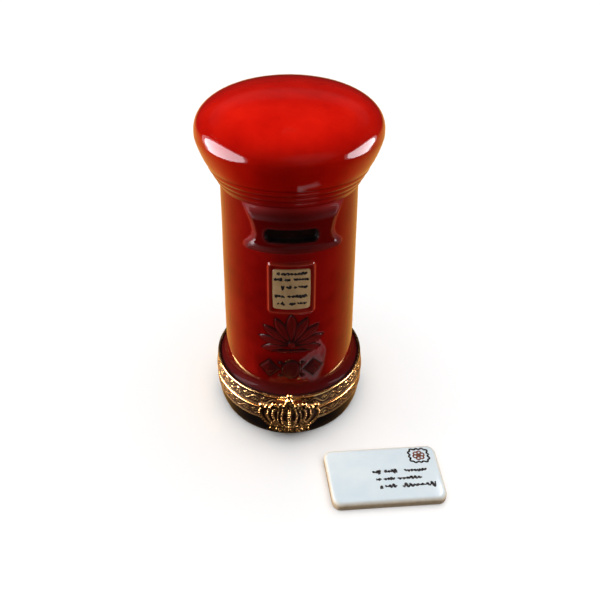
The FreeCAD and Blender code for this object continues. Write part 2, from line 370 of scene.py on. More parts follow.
def porcelain(name, colour, rough=0.06, coat=0.6, ior=1.45, satin=None, shine=0.5):
    """Glazed porcelain: the colour is under a clear, slightly uneven glaze."""
    m, nt, b = new_material(name)
    b.inputs["IOR"].default_value = ior
    b.inputs["Specular IOR Level"].default_value = shine
    b.inputs["Coat Weight"].default_value = coat
    b.inputs["Coat Roughness"].default_value = 0.02
    b.inputs["Coat IOR"].default_value = 1.35
    nt.links.new(colour(nt), b.inputs["Base Color"])
    r = ramp(nt, noise(nt, 260.0, 4.0, 0.6), [(0.3, (rough * 0.7,) * 3), (0.75, (rough * 1.9,) * 3)])
    if satin:
        # where the glaze has run off an edge it is less glossy
        worn = attr(nt, satin)
        r = math_node(nt, "ADD", r, math_node(nt, "MULTIPLY", worn, 0.58))
        c = math_node(nt, "MULTIPLY", math_node(nt, "SUBTRACT", 1.0, math_node(nt, "MULTIPLY", worn, 0.9)), coat)
        nt.links.new(c, b.inputs["Coat Weight"])
    nt.links.new(r, b.inputs["Roughness"])
    nt.links.new(bump(nt, noise(nt, 170.0, 2.0, 0.45), 0.22, 0.00006), b.inputs["Normal"])
    return m


def red_colour(nt):
    red = ramp(nt, noise(nt, 120.0, 5.0, 0.62), [(0.28, (0.38, 0.003, 0.0012)), (0.5, (0.47, 0.0048, 0.0016)),
                                                (0.75, (0.54, 0.008, 0.0025))])
    # painted shade: the pillar below the cap is given a darker red than the cap
    low = ramp(nt, noise(nt, 110.0, 5.0, 0.62), [(0.28, (0.20, 0.0025, 0.002)), (0.5, (0.27, 0.004, 0.003)),
                                                (0.75, (0.34, 0.007, 0.005))])
    red = mixc(nt, attr(nt, "deep"), red, low)
    # lighter, pinker red on raised ridges and relief tops, and painted shade: a near-black red in the hollows and
    # shaded places
    red = mixc(nt, attr(nt, "ridge_lighter"), red, (0.72, 0.10, 0.055))
    red = mixc(nt, attr(nt, "painted_shade"), red, (0.07, 0.0012, 0.0012))
    cream = ramp(nt, noise(nt, 420.0, 5.0, 0.65), [(0.3, (0.62, 0.40, 0.20)), (0.62, (0.74, 0.51, 0.28))])
    red = mixc(nt, attr(nt, "notice"), red, cream)
    ink = ramp(nt, noise(nt, 500.0, 3.0, 0.5), [(0.3, (0.008, 0.004, 0.004)), (0.7, (0.022, 0.008, 0.007))])
    red = mixc(nt, attr(nt, "ink"), red, ink)
    white = ramp(nt, noise(nt, 150.0, 4.0, 0.5), [(0.3, (0.76, 0.76, 0.73)), (0.7, (0.84, 0.84, 0.82))])
    return mixc(nt, attr(nt, "bare"), red, white)


def black_colour(nt):
    black = ramp(nt, noise(nt, 160.0, 4.0, 0.6), [(0.3, (0.006, 0.005, 0.005)), (0.7, (0.016, 0.012, 0.012))])
    white = ramp(nt, noise(nt, 150.0, 4.0, 0.5), [(0.3, (0.76, 0.76, 0.73)), (0.7, (0.84, 0.84, 0.82))])
    return mixc(nt, attr(nt, "bare"), black, white)


def letter_colour(nt):
    white = ramp(nt, noise(nt, 190.0, 4.0, 0.5), [(0.3, (0.76, 0.88, 0.95)), (0.7, (0.85, 0.94, 0.98))])
    # gold: a gilt edge round the top, and over the side faces also a painted warm reflection
    gold = ramp(nt, noise(nt, 900.0, 4.0, 0.6), [(0.3, (0.56, 0.36, 0.16)), (0.7, (0.74, 0.54, 0.30))])
    return mixc(nt, attr(nt, "gilt_and_reflection"), white, gold)


RED = porcelain("red_glaze", red_colour, 0.07, 0.8, satin="satin", shine=0.1)
BLACK = porcelain("black_glaze", black_colour, 0.08, 0.12, 1.3)
WHITE = porcelain("white_glaze", letter_colour, 0.09, 0.5)


def ink_material():
    m, nt, b = new_material("painted_ink")
    c = ramp(nt, noise(nt, 1800.0, 4.0, 0.6), [(0.3, (0.006, 0.005, 0.006)), (0.72, (0.035, 0.024, 0.022))])
    nt.links.new(c, b.inputs["Base Color"])
    r = ramp(nt, noise(nt, 900.0, 2.0, 0.5), [(0.3, (0.18,) * 3), (0.7, (0.34,) * 3)])
    nt.links.new(r, b.inputs["Roughness"])
    b.inputs["IOR"].default_value = 1.45
    return m


def sepia_material():
    m, nt, b = new_material("stamp_colour")
    c = ramp(nt, noise(nt, 1500.0, 4.0, 0.6), [(0.3, (0.10, 0.022, 0.012)), (0.7, (0.30, 0.10, 0.05))])
    nt.links.new(c, b.inputs["Base Color"])
    r = ramp(nt, noise(nt, 900.0, 2.0, 0.5), [(0.3, (0.18,) * 3), (0.7, (0.34,) * 3)])
    nt.links.new(r, b.inputs["Roughness"])
    return m


def brass_material(name, patina, use_relief=True, tone=((0.62, 0.36, 0.13), (0.76, 0.48, 0.20), (0.86, 0.60, 0.30))):
    """Polished brass on the high places, dark patina down in the relief."""
    m, nt, b = new_material(name)
    fine = noise(nt, 900.0, 5.0, 0.62)
    slow = noise(nt, 110.0, 3.0, 0.5)
    brass = ramp(nt, slow, [(0.3, tone[0]), (0.55, tone[1]), (0.8, tone[2])])
    dark = ramp(nt, fine, [(0.3, (0.010, 0.002, 0.001)), (0.7, (0.045, 0.012, 0.004))])
    if use_relief:
        h = math_node(nt, "ADD", attr(nt, "relief"), math_node(nt, "MULTIPLY", math_node(nt, "SUBTRACT", fine, 0.5), 0.45))
    else:
        h = math_node(nt, "ADD", math_node(nt, "MULTIPLY", slow, 0.9), math_node(nt, "MULTIPLY", fine, 0.5))
    mask = ramp(nt, h, [(patina[0], (0, 0, 0)), (patina[1], (1, 1, 1))])
    nt.links.new(mixc(nt, mask, dark, brass), b.inputs["Base Color"])
    metal = ramp(nt, h, [(patina[0], (0.55,) * 3), (patina[1], (1, 1, 1))])
    nt.links.new(metal, b.inputs["Metallic"])
    rough = ramp(nt, math_node(nt, "ADD", math_node(nt, "MULTIPLY", h, 0.7), math_node(nt, "MULTIPLY", fine, 0.3)),
                 [(0.2, (0.46,) * 3), (0.75, (0.16,) * 3)])
    nt.links.new(rough, b.inputs["Roughness"])
    nt.links.new(bump(nt, noise(nt, 2600.0, 3.0, 0.6), 0.25, 0.00002), b.inputs["Normal"])
    return m


BRASS = brass_material("antiqued_brass", (0.44, 0.64), tone=((0.72, 0.42, 0.15), (0.88, 0.57, 0.24), (0.96, 0.70, 0.36)))
# the crown's brass is painted a darker tone than the bands', as painted shade for the front where it sits
BRASS_CROWN = brass_material("crown_brass_shaded", (0.20, 0.66), tone=((0.43, 0.21, 0.06), (0.56, 0.29, 0.10), (0.70, 0.40, 0.17)))
BRASS_PLAIN = brass_material("plain_brass", (0.25, 0.5), use_relief=False)
INK = ink_material()
SEPIA = sepia_material()


def dress(obj, material, body, slot, *replaced):
    obj.data.materials.clear()
    obj.data.materials.append(material)
    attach(obj, body)
    if replaced:
        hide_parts(*replaced)
    return obj


# --------------------------------------------------------------------------
# pillar casting
# --------------------------------------------------------------------------
AZ = azimuths(0.46, 50.0, 2.2)
foot = along([(18.0, EDGE_Z), (BAND_IN - 0.18, EDGE_Z)], 0.4) \
    + along(arc3((BAND_IN - 0.18, EDGE_Z), (BAND_IN - 0.09, EDGE_Z + 0.03), (BAND_IN - 0.08, EDGE_Z + 0.12), 3), 1)[1:] \
    + along([(BAND_IN - 0.08, EDGE_Z + 0.12), (BAND_IN - 0.08, 13.3)], 0.5)[1:] \
    + spline([(BAND_IN - 0.08, 13.3), (18.84, 13.55), (18.62, 13.75), (18.46, 14.02), (18.42, 14.1)], 4)[1:]
flare = arc3((18.42, 14.1), (17.33, 14.95), (FOOT_R, FOOT_Z), 22)[1:]
shaft = [(pillar_r(z), z) for z in np.arange(FOOT_Z + 0.14, TOP_Z, 0.14)]
ring_z = np.concatenate([[TOP_Z, TOP_Z + 0.08], np.arange(TOP_Z + 0.16, 68.12, 0.08)])
ridges = sum(np.clip(1 - ((ring_z - zc) / 0.66) ** 2, 0, 1) ** 1.2 for zc in (64.3, 65.7, 67.1))
ring_pts = list(zip(TOP_R + (17.62 - TOP_R) * (ring_z - TOP_Z) / (68.15 - TOP_Z) + 0.15 * ridges, ring_z)) + [(17.62, 68.15)]
cap = spline([(17.62, 68.15), (18.05, 69.0), (18.46, 70.0), (18.82, 71.0), (19.14, 72.0), (19.34, 72.8),
              (19.45, 73.5), (19.43, 74.2), (19.36, 74.9), (19.2, 75.6), (18.99, 76.2), (18.69, 76.8),
              (18.29, 77.4), (17.78, 78.0), (17.13, 78.6), (16.33, 79.2), (15.34, 79.8), (14.33, 80.3),
              (13.1, 80.8), (11.92, 81.2), (10.47, 81.6), (9.14, 81.9), (7.5, 82.19), (5.51, 82.45),
              (3.3, 82.63), (1.5, 82.705), (0.35, TOTAL_H - 0.002)], 5)[1:]
outer = foot + flare + shaft + ring_pts + cap
inner = [(0.35, 80.7)] + along([(1.2, 80.67), (8.5, 79.9)], 1.2) \
    + spline([(8.5, 79.9), (12.6, 78.8), (15.4, 77.2), (17.0, 75.2), (17.1, 73.0), (16.3, 70.4)], 5)[1:] \
    + along([(16.3, 70.4), (13.6, 66.2), (13.0, 62.0)], 1.6)[1:] \
    + along([(13.0, 62.0), (14.9, 17.4)], 4.0)[1:] + along([(14.9, 17.4), (17.9, 12.8), (18.0, 12.6), (18.0, EDGE_Z + 0.1)], 0.9)[1:]
n_in = len(inner)
prof = np.array(inner + outer)
rr, zz = prof[:, 0], prof[:, 1]
A, Zg = np.meshgrid(AZ, zz, indexing="xy")
Rg = np.repeat(rr[:, None], len(AZ), 1)
is_out = np.arange(len(prof)) >= n_in
body_rows = is_out & (zz > FOOT_Z - 0.5) & (zz < 69.0)
z, a = Zg[body_rows], A[body_rows] - TURN
base = Rg[body_rows]
u = np.radians(a) * 16.0                      # distance round the front
R = base.copy()
pr = pillar_r(z)

# hood round the posting slot: leans out of the pillar below the rings, runs
# down past the slot and ends in a flared ledge
ah = A[body_rows] - HOOD_TURN
zs = [52.8, 53.6, 54.4, 55.2, 56.2, 57.5, 59.5, 61.0, 62.6, 64.0]
half_w = np.interp(z, zs, [40, 39.6, 38.4, 35.2, 32.2, 30.8, 32.6, 35.4, 38.6, 41])
soft = np.interp(z, zs, [5, 5, 5, 5, 4.6, 4.2, 4.4, 5.0, 5.6, 6.0])
side = smoothstep((half_w + soft - np.abs(ah)) / (2 * soft))
rise = np.interp(z, [52.6, 53.1, 53.45, 53.9, 54.5, 55.4, 57, 60.0, 61.0, 61.35, 61.7, 62.05, 62.45, 63.0],
                 [0, 0.06, 0.85, 1.22, 1.2, 1.0, 0.96, 1.0, 1.0, 0.92, 0.72, 0.42, 0.16, 0])
hood = pr + rise * side
R = np.where(z < 65, smax(R, hood, 0.12), R)

# posting slot: a deep recess in the hood's face
d_slot = box_sdf(u, z - 57.5, 5.5, 1.38, 1.2)
cut = 1 - step_at(d_slot, 0.0, 0.3)
R = R * (1 - cut) + np.minimum(R, 15.0 + 0.05 * (z - 57.5)) * cut

# raised frame and the notice set in it
d_frame = box_sdf(u, z - 44.3, 4.95, 6.2, 0.7)
ridge = np.exp(-(d_frame / 0.34) ** 2)
field = 1 - step_at(d_frame, 0.0, 0.6)
bulge = 0.22 * np.cos(np.clip((z - 44.25) / 5.2, -1, 1) * math.pi / 2) - 0.1
d_note = box_sdf(u, z - 44.25, 4.15 + bulge * 0.6, 5.02 + 0.12 * np.cos(u / 4.2 * 1.5), 0.55)
note = 1 - step_at(d_note, 0.0, 0.16)
R += 0.36 * ridge + 0.10 * field + 0.16 * (1 - step_at(d_note, -0.05, 0.35))

# upper ornament: a palmette of nine leaves over two scrolls
relief = np.zeros_like(z)
edge = np.zeros_like(z)


def leaf(x0, z0, turn, length, width, height):
    t = math.radians(turn)
    al = (u - x0) * math.sin(t) + (z - z0) * math.cos(t)
    ac = (u - x0) * math.cos(t) - (z - z0) * math.sin(t)
    s = np.clip(al / length, 0, 1)
    w = width * np.sin(math.pi * s ** 1.35) ** 0.8 + 1e-3
    q = np.abs(ac) / w
    inside = (al > 0) & (al < length)
    h = np.where(inside & (q < 1), height * np.sqrt(np.clip(1 - q ** 2, 0, 1)) * (1 - 0.38 * np.exp(-(ac / 0.13) ** 2)), 0)
    # outline where the leaf meets the ground
    far = np.where(inside, np.abs(ac) - w, np.hypot(np.maximum(al - length, 0) + np.maximum(-al, 0), ac))
    return h, far


def disc(x0, z0, r, height):
    d = np.hypot(u - x0, z - z0)
    return height * np.sqrt(np.clip(1 - (d / r) ** 2, 0, 1)), d - r


def bar(x0, z0, bx, bz, height):
    d = box_sdf(u - x0, z - z0, bx, bz, min(bx, bz))
    return height * np.sqrt(np.clip(-d / min(bx, bz), 0, 1)), d


shapes = []
for turn, length, width in ((-104, 6.4, 0.95), (-78, 7.1, 1.1), (-52, 7.4, 1.15), (-26, 7.6, 1.15), (0, 8.0, 1.25),
                            (26, 7.6, 1.15), (52, 7.4, 1.15), (78, 7.1, 1.1), (104, 6.4, 0.95)):
    t = math.radians(turn)
    shapes.append(leaf(0.7 * math.sin(t), 28.9 + 0.7 * math.cos(t), turn, length, width, 0.42))
shapes += [disc(0, 28.9, 0.95, 0.5), bar(0, 26.95, 3.9, 0.36, 0.38), disc(-4.55, 26.95, 0.5, 0.4),
           disc(4.55, 26.95, 0.5, 0.4)]
# lower ornament: an oval between two lozenges, with beads
for x0, w, h in ((-5.15, 2.35, 2.7), (5.15, 2.35, 2.7)):
    q = np.abs(u - x0) / w + np.abs(z - 21.1) / h
    shapes.append((0.42 * np.clip((1 - q) / 0.28, 0, 1), (q - 1) * 1.5))
    q2 = np.abs(u - x0) / 1.1 + np.abs(z - 21.1) / 1.25
    shapes.append((np.where(q2 < 1, 0.42 + 0.16 * np.clip((1 - q2) / 0.4, 0, 1), 0), q2 * 0 + 9))
q = np.hypot((u) / 2.15, (z - 21.1) / 2.8)
shapes.append((0.46 * np.sqrt(np.clip((1 - q) / 0.4, 0, 1)), (q - 1) * 2.2))
for x0 in (-2.55, 2.55):
    for z0 in (19.1, 23.1):
        shapes.append(disc(x0, z0, 0.42, 0.34))
nearest = np.full_like(z, 9.0)
for h, d in shapes:
    relief = np.maximum(relief, h)
    nearest = np.minimum(nearest, np.where(h > 0.12, np.maximum(d, -9), d))
outline = np.exp(-((nearest - 0.03) / 0.22) ** 2)
ground = (z > 25.9) & (z < 38.2) | (z > 17.6) & (z < 24.6)
R += relief - 0.06 * outline * ground

Rg[body_rows] = R
# the casting is a little uneven, as thrown and glazed porcelain is
wob = 0.035 * wobble(A, Zg, 7)
fade = np.interp(zz, [13.5, 17, 60, 66, 70, 80, TOTAL_H], [0, 1, 1, 0.8, 0.5, 0.5, 0]) * is_out
Rg = Rg + wob * fade[:, None] - 0.035 * fade[:, None]

ridge_lighter = np.zeros_like(Rg)
painted_shade = np.zeros_like(Rg)
notice = np.zeros_like(Rg)
ink = np.zeros_like(Rg)
bare = np.zeros_like(Rg)
bare[~is_out] = 1.0
notice[body_rows] = note
ink_b = 1 - step_at(d_slot, 0.12, 0.24)
ink_b = np.maximum(ink_b, 0.8 * outline * ground)
ink[body_rows] = ink_b
# lighter, pinker red on the notice frame's ridge, on the relief's tops and along the hood's ledge
ridge_lighter_b = 0.38 * ridge + 0.08 * np.clip(relief / 0.42, 0, 1) ** 3
ridge_lighter_b += 0.22 * np.exp(-((z - 54.1) / 0.4) ** 2) * smoothstep((40 - np.abs(ah)) / 6)
ridge_lighter[body_rows] = np.clip(ridge_lighter_b, 0, 1)
# painted shade: darker red in the grooves between the rings, over the hood's face and on the ornaments' relief and
# outlines
for g in (63.45, 65.0, 66.4, 67.85):
    painted_shade += 0.5 * np.exp(-((Zg - g) / 0.2) ** 2) * is_out[:, None]
painted_shade[body_rows] += 0.75 * np.clip(side * rise, 0, 1) + 0.6 * np.clip(relief / 0.3, 0, 1) + 0.35 * np.clip(ground * outline, 0, 1)
# painted shade: darker red down the foot of the pillar
painted_shade += 0.85 * smoothstep((18.2 - Zg) / 2.4) * is_out[:, None]
# painted shade: a darker patch across the front, round the lower ornament
painted_shade[body_rows] += 0.45 * smoothstep((9.6 - np.abs(u)) / 2.0) * smoothstep((z - 16.6) / 1.5) * smoothstep((25.6 - z) / 2.0)
# a dark line round the foot of the flare, where it meets the band
ink = np.maximum(ink, ((Zg > 13.2) & (Zg < 14.4) & is_out[:, None]).astype(float) * 0.75 * step_at(-Zg, -14.15, 0.35))
satin = np.zeros_like(Rg)
satin[body_rows] = np.clip(4 * side * (1 - side), 0, 1) * ((z > 53) & (z < 63.4)) \
    + np.clip(side * 3, 0, 1) * (0.95 * smoothstep((z - 60.4) / 0.5) * smoothstep((63.4 - z) / 0.2) + 0.95 * smoothstep((55.2 - z) / 0.5) * smoothstep((z - 52.6) / 0.4)) \
    + 0.9 * np.clip(relief / 0.12, 0, 1) + np.exp(-(d_slot / 0.6) ** 2)
satin += 0.92 * smoothstep((17.6 - Zg) / 1.6) * is_out[:, None]
# the pillar's red is painted darker below the cap and in its hollows, as painted shade
pillar = turned("pillar_casting", around(A, Rg, Zg), (0, 0, 80.7), (0, 0, TOTAL_H), attributes={
    "ridge_lighter": ridge_lighter, "painted_shade": np.clip(painted_shade, 0, 1), "notice": notice, "ink": ink, "bare": bare,
    "deep": smoothstep((69.5 - Zg) / 6.0), "satin": np.clip(satin, 0, 1)})
dress(pillar, RED, "pillar", "red_glaze", "pillar_shell")

# --------------------------------------------------------------------------
# handwriting: loose painted strokes that spell nothing
# --------------------------------------------------------------------------


def scribble(x0, x1, z0, rng, height, loops):
    """A pen line from x0 to x1 that waves, hooks and dips, in flat coordinates."""
    n = max(10, int((x1 - x0) / 0.055))
    t = np.linspace(0, 1, n)
    x = x0 + (x1 - x0) * t
    zc = np.zeros(n)
    for _ in range(3):
        zc += rng.uniform(0.25, 0.6) * np.sin(2 * math.pi * t * rng.uniform(0.8, 1.3) * loops + rng.uniform(0, 6.28))
    zc *= height * (0.55 + 0.45 * np.sin(2 * math.pi * t * rng.uniform(0.5, 1.5) + rng.uniform(0, 6.28)))
    x = x + 0.16 * height * np.sin(2 * math.pi * t * loops * 1.1 + rng.uniform(0, 6.28)) * np.sin(math.pi * t)
    w = 0.6 + 0.4 * np.sin(2 * math.pi * t * loops * 0.9 + rng.uniform(0, 6.28))
    return x, z0 + zc, w


def on_pillar(x, zc, lift):
    a_ = np.degrees(x / 16.0) + TURN
    r_ = pillar_r(zc) + lift
    return around(a_, r_, zc)


rng = np.random.default_rng(41)
parts = []
LIFT = 0.10 + 0.16 - 0.035 + 0.012
rows = [
    (48.3, [(-3.2, -2.5, 2), (-2.2, 3.4, 8)], 0.30),
    (46.9, [(-3.7, -2.1, 3), (-1.5, -0.2, 3), (0.5, 3.7, 6)], 0.27),
    (45.0, [(-2.3, -1.6, 1), (-1.0, 0.0, 2), (0.5, 1.2, 1), (1.6, 3.5, 3)], 0.60),
    (42.6, [(-3.7, -1.6, 4), (-1.0, 3.5, 6)], 0.32),
    (40.7, [(-3.1, -2.7, 1), (-2.4, -1.6, 2), (-0.5, 1.0, 3), (1.3, 3.4, 3)], 0.32)]
for z0, words, h in rows:
    for x0, x1, loops in words:
        x, zc, w = scribble(x0, x1, z0, rng, h, loops)
        P = on_pillar(x, zc, LIFT + 0.035 * wobble(np.degrees(x / 16.0) + TURN, zc, 7))
        nrm = P * np.array([1, 1, 0])
        parts.append(tube_along(P, 0.25 * w + 0.13, 8, 0.2, nrm / np.linalg.norm(nrm, axis=1)[:, None]))
strokes = merge("notice_strokes", parts)
dress(strokes, INK, "pillar", "black_glaze")

# --------------------------------------------------------------------------
# brass bands, with a running scroll pressed into them
# --------------------------------------------------------------------------


def band_relief(az, v, height, repeats, phase):
    """Relief between 0 and 1 at angle az and height v (mm above the zone's foot)."""
    P = 360.0 / repeats
    s = ((az + phase) % P) / P
    wave = 0.5 * height + 0.27 * height * np.sin(2 * math.pi * s)
    slope = 0.27 * height * 2 * math.pi * np.cos(2 * math.pi * s) / (P * math.pi / 180 * 20)
    d = np.abs(v - wave) / np.sqrt(1 + slope ** 2)
    h = np.exp(-(d / 0.19) ** 2)
    x = (s - 0.5) * P * math.pi / 180 * 20          # mm within the repeat
    half = P * math.pi / 180 * 20
    for cx, cz, sgn in ((-0.25 * half, 0.26 * height, 1), (0.25 * half, 0.74 * height, -1)):
        dx, dz = x - cx, (v - cz) * sgn
        r0 = np.hypot(dx, dz + 0.12)
        h = np.maximum(h, np.sqrt(np.clip(1 - (r0 / 0.34) ** 2, 0, 1)))
        for turn in (-72, -28, 28, 72):
            t = math.radians(turn)
            al = dx * math.sin(t) + (-dz - 0.05) * -math.cos(t)
            ac = dx * math.cos(t) + (-dz - 0.05) * math.sin(t)
            q = np.hypot((al - 0.62) / 0.42, ac / 0.2)
            h = np.maximum(h, 0.92 * np.sqrt(np.clip(1 - q ** 2, 0, 1)))
    for cx in (-0.5 * half, 0.0, 0.5 * half):
        r0 = np.hypot(x - cx, v - (0.13 if cx == 0 else 0.87) * height)
        h = np.maximum(h, 0.8 * np.sqrt(np.clip(1 - (r0 / 0.2) ** 2, 0, 1)))
    return h


def make_band(name, z0, z1, r_at, flange_in, flange_low, phase):
    """r_at(z) is the outer surface. The flange is at the edge by the split."""
    cols = 900
    az = np.linspace(-180, 180, cols, endpoint=False)
    rim0, rim1 = 0.5, 0.62
    out = []
    # outer face from bottom to top: (z, kind) with kind 0 plain, 1 relief
    out += [(z0, -0.12, 0), (z0 + 0.03, -0.035, 0), (z0 + 0.12, 0.0, 0)]
    out += [(zv, 0.0, 2) for zv in np.linspace(z0 + 0.18, z0 + rim0 - 0.04, 5)]
    out += [(z0 + rim0, -0.1, 0), (z0 + rim0 + 0.08, -0.22, 1)]
    zone0, zone1 = z0 + rim0 + 0.08, z1 - rim1 - 0.08
    out += [(zv, -0.24, 1) for zv in np.linspace(zone0, zone1, 27)[1:-1]]
    out += [(zone1, -0.22, 1), (z1 - rim1, -0.06, 0)]
    out += [(zv, 0.04 * math.sin(math.pi * (zv - z1 + rim1) / rim1) - 0.045, 0)
            for zv in np.linspace(z1 - rim1 + 0.06, z1 - 0.1, 6)]
    out += [(z1 - 0.03, -0.035, 0), (z1, -0.12, 0)]
    P, H = [], []
    for zv, off, kind in out:
        r = np.full(cols, r_at(zv) + off)
        h = np.full(cols, 0.75)
        if kind == 1:
            rel = band_relief(az, zv - zone0, zone1 - zone0, 24, phase)
            r = r + 0.22 * rel
            h = 0.06 + 0.9 * rel
        elif kind == 2:
            # row of small beads along the lower rim
            s = (az / 360 * 180 + phase) % 1.0
            ph = (zv - z0 - 0.18) / (rim0 - 0.22)
            bead = np.sqrt(np.clip(1 - ((s - 0.5) / 0.5) ** 2, 0, 1)) * math.sin(math.pi * min(max(ph, 0), 1)) ** 0.5
            r = r - 0.12 + 0.12 * bead
            h = 0.1 + 0.8 * bead
        P.append(around(az, r, zv))
        H.append(h)
    if flange_low:
        ins = [(18.95, z1), (18.88, z1 - 0.04), (18.86, z1 - 0.1), (18.86, z1 - 0.38), (BAND_IN, z1 - 0.6),
               (BAND_IN, z0 + 0.25), (flange_in + 0.1, z0 + 0.25), (flange_in, z0 + 0.2), (flange_in, z0 + 0.05),
               (flange_in + 0.1, z0), (19.4, z0)]
    else:
        ins = [(19.4, z1), (flange_in + 0.1, z1), (flange_in, z1 - 0.05), (flange_in, z1 - 0.2),
               (flange_in + 0.1, z1 - 0.25), (BAND_IN, z1 - 0.25), (BAND_IN, z0)]
    for r, zv in ins:
        P.append(around(az, np.full(cols, float(r)), zv))
        H.append(np.full(cols, 0.62))
    o = turned(name, np.array(P), closed_v=True, attributes={"relief": np.array(H)})
    return o


upper = make_band("upper_band_chased", UB0, UB1, lambda z: UR0 + (UR1 - UR0) * (z - UB0) / (UB1 - UB0) + 0.0, 17.75, True, 0.0)
dress(upper, BRASS, "pillar", "brass", "upper_band")
lower = make_band("lower_band_chased", LB0, LB1, lambda z: BAND_R, 17.5, False, 7.5)
dress(lower, BRASS, "base", "brass", "lower_band")

# --------------------------------------------------------------------------
# base dish
# --------------------------------------------------------------------------
DISH_AZ = np.linspace(-180, 180, 240, endpoint=False)
dp = [(0.6, 0.0), (9.0, 0.0), (17.6, 0.0), (18.3, 0.0)] + arc3((18.56, 0), (18.93, 0.15), (19.06, 0.5), 6) \
    + arc3((19.06, 0.5), (19.52, 2.0), (19.69, 3.4), 10)[1:] + [(19.75, 4.6), (19.78, 5.45), (19.76, 5.6), (19.7, 5.72), (19.6, 5.77),
    (19.5, 5.78), (19.05, 5.78), (19.05, 7.5), (19.05, 9.5), (18.98, 9.6), (17.75, 9.6), (17.63, 9.56), (17.6, 9.45), (17.6, 7.5), (17.6, 5.4), (17.6, 3.8)] \
    + arc3((17.6, 3.8), (17.13, 2.67), (16.0, 2.2), 8)[1:] + [(15.0, 2.2), (8.0, 2.2), (0.6, 2.2)]
dp = np.array(dp)
DA, DZ = np.meshgrid(DISH_AZ, dp[:, 1])
DR = np.repeat(dp[:, 0][:, None], len(DISH_AZ), 1)
fade = np.interp(dp[:, 1], [0, 0.5, 3, 5.2, 5.8], [0, 0.4, 1, 0.4, 0]) * (np.arange(len(dp)) < 24)
DR = DR + (0.03 * wobble(DA, DZ, 3) - 0.03) * fade[:, None]
is_inner = np.arange(len(dp)) >= 27
dish = turned("base_dish_glazed", around(DA, DR, DZ), (0, 0, 0.0), (0, 0, 2.2),
              attributes={"bare": np.repeat(is_inner[:, None], len(DISH_AZ), 1).astype(float)})
dress(dish, BLACK, "base", "black_glaze", "base_dish")

# --------------------------------------------------------------------------
# crown clasp: cast in one, so its parts are joined and worked over as one skin
# --------------------------------------------------------------------------
CR = 20.9


def bend(p):
    """x along the band, z up, w out from the tab's face, bent round the band."""
    p = np.asarray(p, float)
    th = p[:, 0] / 21.5
    r = CR + p[:, 2]
    return np.stack([r * np.sin(th), -r * np.cos(th), p[:, 1]], -1)


def ball(cx, cz, w, r, squash=1.0, seg=18):
    th = np.linspace(0, math.pi, seg // 2 + 1)[1:-1]
    ph = np.linspace(0, 2 * math.pi, seg, endpoint=False)
    T, F = np.meshgrid(th, ph, indexing="ij")
    p = np.stack([cx + r * np.sin(T) * np.cos(F), cz + r * np.cos(T), w + squash * r * np.sin(T) * np.sin(F)], -1)
    v = np.concatenate([p.reshape(-1, 3), [[cx, cz + r, w]], [[cx, cz - r, w]]])
    rows_, cols_ = p.shape[:2]
    q = grid(rows_, cols_)
    j = np.arange(cols_)
    k = (j + 1) % cols_
    n = rows_ * cols_
    last = (rows_ - 1) * cols_
    return v, [q, np.concatenate([np.stack([np.full(cols_, n), k, j], -1), np.stack([last + j, last + k, np.full(cols_, n + 1)], -1)])]


def rod(points, r, w=0.6, flat=1.0, steps=8):
    pts = spline(points, steps)
    p = np.array([(x, zc, w) for x, zc in pts])
    nrm = np.repeat(np.array([[0.0, 0.0, 1.0]]), len(p), 0)
    return tube_along(p, r, 12, flat, nrm, taper=False)


def beads_on(points, r, w, gap):
    pts = np.array(spline(points, 40))
    seg = np.r_[0, np.cumsum(np.linalg.norm(np.diff(pts, axis=0), axis=1))]
    n = max(2, int(seg[-1] / gap))
    s = np.linspace(0, seg[-1], n + 1)
    return [ball(np.interp(t, seg, pts[:, 0]), np.interp(t, seg, pts[:, 1]), w, r) for t in s]


def plate(outline, w0, w1):
    """Flat plate with that outline, between w0 and w1."""
    o = np.array(outline, float)
    n = len(o)
    c = o.mean(0)
    v = np.concatenate([np.c_[o, np.full(n, w0)], np.c_[o, np.full(n, w1)], [[*c, w0]], [[*c, w1]]])
    j = np.arange(n)
    k = (j + 1) % n
    q = np.stack([j, k, n + k, n + j], -1)
    t = np.concatenate([np.stack([np.full(n, 2 * n), k, j], -1), np.stack([np.full(n, 2 * n + 1), n + j, n + k], -1)])
    return v, [q, t]


crown_parts = []
right = [(0.0, 4.0), (4.9, 4.25), (5.25, 5.9), (6.2, 7.4), (7.1, 9.1), (7.45, 10.8), (7.1, 12.2), (5.6, 12.6),
         (3.9, 13.3), (2.4, 13.0), (1.2, 13.9), (0.0, 14.2)]
ol = right + [(-x, zc) for x, zc in reversed(right[1:-1])]
for k, (grow, w0, w1) in enumerate(((1.0, 0.0, 0.5), (0.93, 0.45, 0.68), (0.84, 0.6, 0.83))):
    crown_parts.append(plate([(x * grow, 9.2 + (zc - 9.2) * grow) for x, zc in ol], w0, w1))
for zc, r, w in ((4.12, 0.34, 0.75), (5.92, 0.34, 0.8)):
    crown_parts.append(rod([(-5.05, zc + 0.12), (-2.6, zc - 0.05), (0, zc - 0.1), (2.6, zc - 0.05), (5.05, zc + 0.12)], r, w))
crown_parts.append(rod([(-4.9, 5.05), (0, 4.9), (4.9, 5.05)], 0.66, 0.35, 0.75))
for k, x in enumerate(np.linspace(-4.5, 4.5, 7)):
    crown_parts.append(ball(x, 4.95 + 0.012 * x * x * 0.5, 1.0, 0.46 if k % 2 else 0.56, 0.7))
outer_arch = [(-4.8, 6.1), (-6.2, 7.6), (-7.15, 9.4), (-7.25, 11.0), (-6.2, 12.4), (-4.4, 12.9), (-2.2, 13.3), (-0.4, 13.9)]
inner_arch = [(-2.2, 6.1), (-3.3, 7.8), (-4.0, 9.8), (-3.75, 11.7), (-2.4, 12.9), (-0.5, 13.6)]
middle = [(0, 6.1), (0.0, 9.5), (0, 13.8)]
